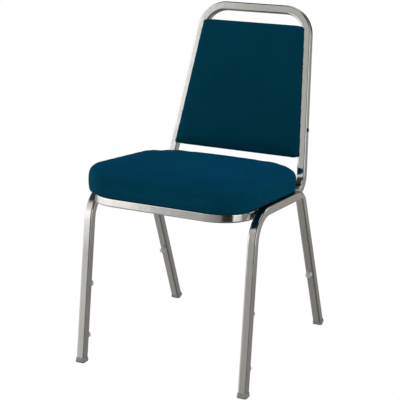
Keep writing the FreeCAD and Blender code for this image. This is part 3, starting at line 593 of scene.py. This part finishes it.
class Material(NodeTree):
    """A node material with its Principled shader."""

    def __init__(self, name, color, roughness, metallic=0.0):
        self.material = bpy.data.materials.new(name)
        self.material.use_nodes = True
        super().__init__(self.material.node_tree)
        self.shader = self.tree.nodes["Principled BSDF"]
        self.set("Base Color", (*color, 1))
        self.set("Roughness", roughness)
        self.set("Metallic", metallic)
        self.place = self.node("ShaderNodeTexCoord").outputs["Object"]

    def set(self, socket, value):
        self.shader.inputs[socket].default_value = value

    def stretched(self, scale, turn=(0, 0, 0)):
        mapping = self.node("ShaderNodeMapping")
        mapping.inputs["Scale"].default_value = scale
        mapping.inputs["Rotation"].default_value = turn
        self.link(self.place, mapping.inputs["Vector"])
        return mapping.outputs["Vector"]

    def noise(self, scale, detail=4.0, where=None):
        noise = self.node("ShaderNodeTexNoise")
        noise.inputs["Scale"].default_value = scale
        noise.inputs["Detail"].default_value = detail
        noise.inputs["Roughness"].default_value = 0.55
        self.link(where or self.place, noise.inputs["Vector"])
        return noise.outputs["Fac"]

    def wave(self, direction, scale, distortion, where=None):
        wave = self.node("ShaderNodeTexWave", bands_direction=direction, wave_profile="SIN")
        wave.inputs["Scale"].default_value = scale
        wave.inputs["Distortion"].default_value = distortion
        wave.inputs["Detail Scale"].default_value = 3.0
        self.link(where or self.place, wave.inputs["Vector"])
        return wave.outputs["Fac"]

    def ramp(self, value, low, high, low_at=0.3, high_at=0.7):
        return self.stops(value, [(low_at, low), (high_at, high)])

    def color(self, value, low, high, low_at=0.3, high_at=0.7):
        self.link(self.ramp(value, low, high, low_at, high_at), self.shader.inputs["Base Color"])

    def roughness(self, value, low, high):
        self.link(self.ramp(value, (low,) * 3, (high,) * 3), self.shader.inputs["Roughness"])

    def bump(self, height, strength, distance, under=None):
        bump = self.node("ShaderNodeBump")
        bump.inputs["Strength"].default_value = strength
        bump.inputs["Distance"].default_value = distance
        self.link(height, bump.inputs["Height"])
        if under is not None:
            self.link(under, bump.inputs["Normal"])
        self.link(bump.outputs["Normal"], self.shader.inputs["Normal"])
        return bump.outputs["Normal"]

    def paint(self, *pieces):
        for piece in pieces:
            piece.data.materials.clear()
            piece.data.materials.append(self.material)


def scaled(color, factor):
    return tuple(min(1.0, c * factor) for c in color)


def chrome(name, bright, rough, streak, satin_and_shade=False):
    """Polished plate with faint drawing streaks along the tube; on the legs, a rougher lower part whose
    colour is painted darker, a painted shade.
    """
    made = Material(name, scaled(CHROME_TINT, bright), rough, metallic=1.0)
    streaks = made.noise(1.0, detail=3.0, where=made.stretched(streak))
    shade = made.weighted((streaks, 0.6), (made.noise(5.0), 0.4))
    plate = made.ramp(shade, scaled(CHROME_TINT, bright * 0.88), scaled(CHROME_TINT, bright * 1.06))
    blur = made.weighted((made.noise(60.0, detail=6.0), rough * 1.2), (streaks, rough * 0.5))
    blur = made.math("ADD", blur, rough * 0.3)
    if satin_and_shade:
        level = made.ramp(made.split(made.place)["Z"], WHITE, BLACK, SATIN_BELOW - SATIN_FADE, SATIN_BELOW)
        blur = made.math("ADD", blur, made.math("MULTIPLY", level, SATIN))
        # painted shade: the plate colour is darkened by a share on the legs' lower part
        kept = made.math("SUBTRACT", 1.0, made.math("MULTIPLY", level, LOW_LEG_PAINTED_SHADE))
        plate = made.vectors("MULTIPLY", plate, kept)
    made.link(plate, made.shader.inputs["Base Color"])
    made.link(blur, made.shader.inputs["Roughness"])
    waviness = made.bump(made.noise(22.0, detail=2.0), strength=0.12, distance=1.2 * MM)
    made.bump(made.noise(900.0, detail=3.0), strength=0.03, distance=0.05 * MM, under=waviness)
    return made


def chrome_weld():
    made = Material("chrome_weld", WELD_TINT, 0.2, metallic=1.0)
    made.color(made.noise(120.0), (0.62, 0.60, 0.57), (0.80, 0.79, 0.76))
    made.roughness(made.noise(250.0, detail=5.0), 0.12, 0.32)
    ripple = made.bump(made.wave("Y", 260.0, distortion=3.0), strength=0.35, distance=0.5 * MM)
    made.bump(made.noise(500.0), strength=0.2, distance=0.2 * MM, under=ripple)
    return made


def steel(name, color, rough):
    made = Material(name, color, rough, metallic=1.0)
    made.color(made.noise(90.0), scaled(color, 0.85), scaled(color, 1.1))
    drawn = made.noise(700.0, detail=3.0, where=made.stretched((1, 1, 0.05)))
    made.roughness(drawn, rough * 0.8, rough * 1.25)
    made.bump(made.noise(1200.0, detail=3.0), strength=0.1, distance=0.1 * MM)
    return made


def fabric(name, color, turn):
    """A fine plain weave: warp and weft ribs, slubs in the yarn, and slow changes of shade."""
    made = Material(name, color, 0.92)
    turned = made.stretched((1, 1, 1), turn=(turn, 0, 0))
    warp, weft, rise = [made.wave(axis, RIBS, distortion=0.4, where=turned) for axis in "XYZ"]
    weave = made.math("MULTIPLY", made.math("ADD", warp, weft), made.math("ADD", rise, 0.6))
    slub = made.noise(420.0, detail=3.0)
    shade = made.weighted((weave, 0.14), (made.noise(9.0, detail=5.0), 0.70), (slub, 0.16))
    made.color(shade, scaled(color, 0.86), scaled(color, 1.12), low_at=0.25, high_at=0.8)
    nap = made.bump(weave, strength=0.22, distance=0.3 * MM)
    made.bump(slub, strength=0.25, distance=0.3 * MM, under=nap)
    made.set("Specular IOR Level", 0.02)
    made.set("Sheen Weight", 0.12)
    made.set("Sheen Roughness", 0.45)
    made.set("Sheen Tint", SHEEN_TINT)
    return made


def plywood():
    made = Material("plywood", (0.55, 0.40, 0.25), 0.6)
    grain = made.noise(30.0, detail=8.0, where=made.stretched((1, 0.06, 6)))
    made.color(grain, (0.42, 0.28, 0.16), (0.66, 0.50, 0.33))
    made.bump(grain, strength=0.15, distance=0.3 * MM)
    return made


def lining():
    made = Material("dust_lining", (0.012, 0.012, 0.013), 0.95)
    fibre = made.noise(650.0, detail=6.0)
    made.color(fibre, (0.006, 0.006, 0.007), (0.03, 0.03, 0.032))
    made.bump(fibre, strength=0.5, distance=0.25 * MM)
    return made


def foam():
    made = Material("foam", (0.75, 0.66, 0.42), 0.9)
    cells = made.noise(800.0, detail=5.0)
    made.color(cells, (0.62, 0.54, 0.33), (0.82, 0.74, 0.5))
    made.bump(cells, strength=0.5, distance=0.4 * MM)
    return made


def glide_plastic():
    """Grey nylon, darker along its bottom edge."""
    made = Material("glide_nylon", (0.30, 0.295, 0.28), 0.45)
    mottle = made.ramp(made.noise(160.0, detail=5.0), (0.22, 0.215, 0.20), (0.36, 0.35, 0.33))
    ragged = made.math("MULTIPLY", made.noise(220.0), 1.5 * MM)
    edge = made.math("ADD", made.split(made.place)["Z"], ragged)
    # the colour turns darker towards the bottom edge
    darker_bottom = made.ramp(edge, (0.16,) * 3, WHITE, DARK_BOTTOM_LOW, DARK_BOTTOM_HIGH)
    made.link(made.vectors("MULTIPLY", mottle, darker_bottom), made.shader.inputs["Base Color"])
    made.roughness(made.noise(300.0), 0.38, 0.6)
    made.bump(made.noise(700.0), strength=0.2, distance=0.15 * MM)
    return made


def bumper_plastic(name, color):
    made = Material(name, color, 0.3)
    made.color(made.noise(240.0, detail=3.0), scaled(color, 0.85), scaled(color, 1.2))
    made.bump(made.noise(500.0, detail=3.0), strength=0.12, distance=0.1 * MM)
    made.set("Subsurface Weight", 0.25)
    made.set("Subsurface Radius", (4 * MM,) * 3)
    return made


def paint_cad_nodes():
    by_slot = {
        "chromed_tube": chrome("chrome", 1.0, 0.055, ALONG_X),
        "plain_steel": steel("drawn_steel", DRAWN_STEEL, 0.35),
        "zinc_fasteners": steel("zinc_plate", ZINC, 0.28),
        "board": plywood(),
        "foam": foam(),
        "cover_fabric": fabric("hidden_cover", TEAL, SEAT_PITCH),
        "dust_cover": lining(),
        "glide_plastic": glide_plastic(),
        "bumper_plastic": bumper_plastic("bumper_plastic", LIGHT_BUTTON)}
    for part in frame["record"]["subparts"]:
        by_slot[part["material_slot"]].paint(nodes[part["node"]])
    chrome("chrome_posts", 1.0, 0.055, ALONG_POSTS).paint(nodes["back_frame_tube"])
    # the legs' chrome is painted a little darker than the posts' chrome, a painted shade, and darker still
    # low down
    chrome("chrome_legs", 0.93, 0.08, ALONG_LEGS, satin_and_shade=True).paint(
        nodes["leg_frame_right"], nodes["leg_frame_left"])
    chrome_weld().paint(nodes["weld_beads"])
    # near-black post bumpers: a painted shade for the shadow at their side of the posts
    bumper_plastic("post_bumper_plastic", BUTTON_PAINTED_SHADE).paint(
        nodes["bumper_post_right"], nodes["bumper_post_left"])


# ---- studio ------------------------------------------------------------------------------------------
# Places round the chair are given in degrees: 0 is straight in front, 90 the right-hand side, 180 behind,
# and -90 the left-hand side. Heights are the sine of the angle above the horizon. Each pair is a place and
# the brightness there, which fades evenly from one pair to the next.

WALLS = [(-180, 0.05), (-130, 0.05), (-114, 0.30), (-32, 0.44), (-24, 0.44), (-15, 0.39), (0, 0.34),
         (14, 0.28), (28, 0.22), (37, 0.04), (64, 0.01), (68, 0.30), (97, 0.16), (112, 0.45), (121, 0.10),
         (128, 0.08), (133, 0.28), (140, 0.46), (152, 0.52), (159, 0.36), (166, 0.08), (180, 0.05)]
WALL_HEIGHTS = [(-0.28, 0.0), (-0.17, 1.0), (0.0, 1.0), (0.3, 1.12), (0.64, 1.0), (0.76, 0.12), (1.0, 0.08)]
CARDS = [(-116, 0.0), (-104, 0.60), (-96, 1.1), (-50, 1.2), (-38, 0.95), (-31, 0.95), (-29.2, 0.85),
         (-27.8, 0.05), (-24, 0.0), (65, 0.0), (70, 1.2), (94, 1.2), (101, 0.0), (137, 0.0), (141, 0.42),
         (147, 0.25), (154, 0.0)]
CARD_HEIGHTS = [(-0.29, 0.0), (-0.22, 0.6), (-0.10, 0.8), (0.0, 1.0), (0.30, 1.0), (0.39, 0.6), (0.62, 0.3),
                (0.76, 0.0)]
GROUND = [(-180, 0.25), (-125, 0.20), (-100, 0.45), (-75, 0.80), (-50, 0.85), (-42, 0.75), (-37, 0.50),
          (-25, 0.45), (0, 0.42), (30, 0.20), (62, 0.18), (118, 0.24), (130, 0.30), (142, 0.36),
          (148, 0.29), (156, 0.36), (168, 0.36), (180, 0.25)]
GROUND_HEIGHTS = [(-1.0, 0.5), (-0.75, 0.6), (-0.60, 0.75), (-0.40, 1.0), (-0.28, 1.0), (-0.19, 0.0)]
OVERHEAD_HEIGHTS = [(0.93, 0.0), (0.965, 1.0)]
WALL_TINT = (1.0, 0.99, 0.965)
GROUND_TINT = (1.0, 0.965, 0.91)
OVERHEAD_TINT = (0.9, 0.9, 0.9)
DIFFUSE_GAIN = 1.63                  # matt surfaces see the studio this much brighter than the chrome does
FLOOR_HALF = 12.0
LAMPS = {                            # place, aim, size, watts, colour
    "top_fill": ((0.0, -0.2, 2.7), (0.0, -0.1, 0.5), 1.2, 12.0, (0.1, 0.4, 1.0)),
    "side_fill": ((2.0, -0.3, 1.3), (0.1, -0.05, 0.5), 1.2, 11.0, (0.85, 0.85, 1.0))}


def camera():
    back = Vector((math.sin(CAMERA_AZIMUTH) * math.cos(CAMERA_ELEVATION),
                   -math.cos(CAMERA_AZIMUTH) * math.cos(CAMERA_ELEVATION),
                   math.sin(CAMERA_ELEVATION)))
    data = bpy.data.cameras.new("camera")
    data.lens = CAMERA_LENS
    data.sensor_width = CAMERA_SENSOR
    data.clip_end = CAMERA_REACH
    made = bpy.data.objects.new("camera", data)
    made.location = CAMERA_TARGET + back * CAMERA_DISTANCE
    made.rotation_mode = "QUATERNION"
    made.rotation_quaternion = back.to_track_quat("Z", "Y")
    bpy.context.scene.collection.objects.link(made)
    bpy.context.scene.camera = made


def lamp(name, place, aim, size, power, color):
    """A soft square lamp that lights the chair but isn't seen, directly or in the chrome."""
    data = bpy.data.lights.new(name, "AREA")
    data.size = size
    data.energy = power
    data.color = color
    made = bpy.data.objects.new(name, data)
    made.location = place
    made.rotation_mode = "QUATERNION"
    made.rotation_quaternion = (Vector(place) - Vector(aim)).to_track_quat("Z", "Y")
    made.visible_camera = False
    made.visible_glossy = False
    bpy.context.scene.collection.objects.link(made)


def floor():
    """A white floor that only the camera sees; the studio's own ground lights the chair from below."""
    corners = [(x * FLOOR_HALF, y * FLOOR_HALF, 0) for x, y in ((-1, -1), (1, -1), (1, 1), (-1, 1))]
    made = new_object("floor", mesh_from("floor", corners, [(0, 1, 2, 3)]))
    white = Material("studio_floor", BLACK, 0.8)
    white.set("Specular IOR Level", 0.0)
    white.set("Emission Color", (1, 1, 1, 1))
    white.set("Emission Strength", 1.0)
    white.paint(made)
    made.visible_glossy = False
    made.visible_diffuse = False
    made.visible_transmission = False
    made.visible_shadow = False


class Studio(NodeTree):
    """The world: white to the eye, and a studio of cards, walls and dark gaps to everything else."""

    def __init__(self):
        world = bpy.data.worlds.new("studio")
        bpy.context.scene.world = world
        world.use_nodes = True
        super().__init__(world.node_tree)
        self.tree.nodes.clear()
        heading = self.split(self.node("ShaderNodeTexCoord").outputs["Generated"])
        turn = self.math("ARCTAN2", heading["X"], self.math("MULTIPLY", heading["Y"], -1.0))
        self.turn = self.math("ADD", self.math("MULTIPLY", turn, 0.5 / math.pi), 0.5)
        self.height = self.math("ADD", self.math("MULTIPLY", heading["Z"], 0.5), 0.5)

    def around(self, pairs):
        return self.stops(self.turn, [((place + 180) / 360, (grey,) * 3) for place, grey in pairs])

    def up(self, pairs):
        return self.stops(self.height, [((place + 1) / 2, (grey,) * 3) for place, grey in pairs])

    def shape(self, pairs_around, pairs_up, tint):
        grey = self.math("MULTIPLY", self.around(pairs_around), self.up(pairs_up))
        return self.vectors("MULTIPLY", grey, tint)

    def background(self, color, strength=1.0):
        return self.feed(self.node("ShaderNodeBackground"), (color, strength))

    def finish(self):
        light, *others = [self.shape(WALLS, WALL_HEIGHTS, WALL_TINT), self.shape(CARDS, CARD_HEIGHTS, WHITE),
                          self.shape(GROUND, GROUND_HEIGHTS, GROUND_TINT),
                          self.vectors("MULTIPLY", self.up(OVERHEAD_HEIGHTS), OVERHEAD_TINT)]
        for part in others:
            light = self.vectors("ADD", light, part)
        path = self.node("ShaderNodeLightPath").outputs
        gain = self.math("ADD", self.math("MULTIPLY", path["Is Diffuse Ray"], DIFFUSE_GAIN - 1.0), 1.0)
        studio = self.background(light, gain)
        white = self.background((1, 1, 1, 1))
        seen = self.feed(self.node("ShaderNodeMixShader"), (path["Is Camera Ray"], studio, white))
        self.link(seen, self.node("ShaderNodeOutputWorld").inputs["Surface"])


camera()
floor()
Studio().finish()
for lamp_name, settings in LAMPS.items():
    lamp(lamp_name, *settings)
bpy.context.scene.view_settings.view_transform = "Standard"

paint_cad_nodes()

cushion = seat_cushion()
fabric("seat_fabric", TEAL, SEAT_PITCH).paint(cushion)
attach(cushion, "root")
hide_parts("seat_cover", "seat_foam")

pad = back_pad()
# the back's cover is the seat's fabric painted darker, a painted shade
fabric("back_fabric", TEAL_BACK_SHADED, -BACK_LEAN).paint(pad)
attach(pad, "root")
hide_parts("back_cover", "back_front_foam", "back_rear_foam")
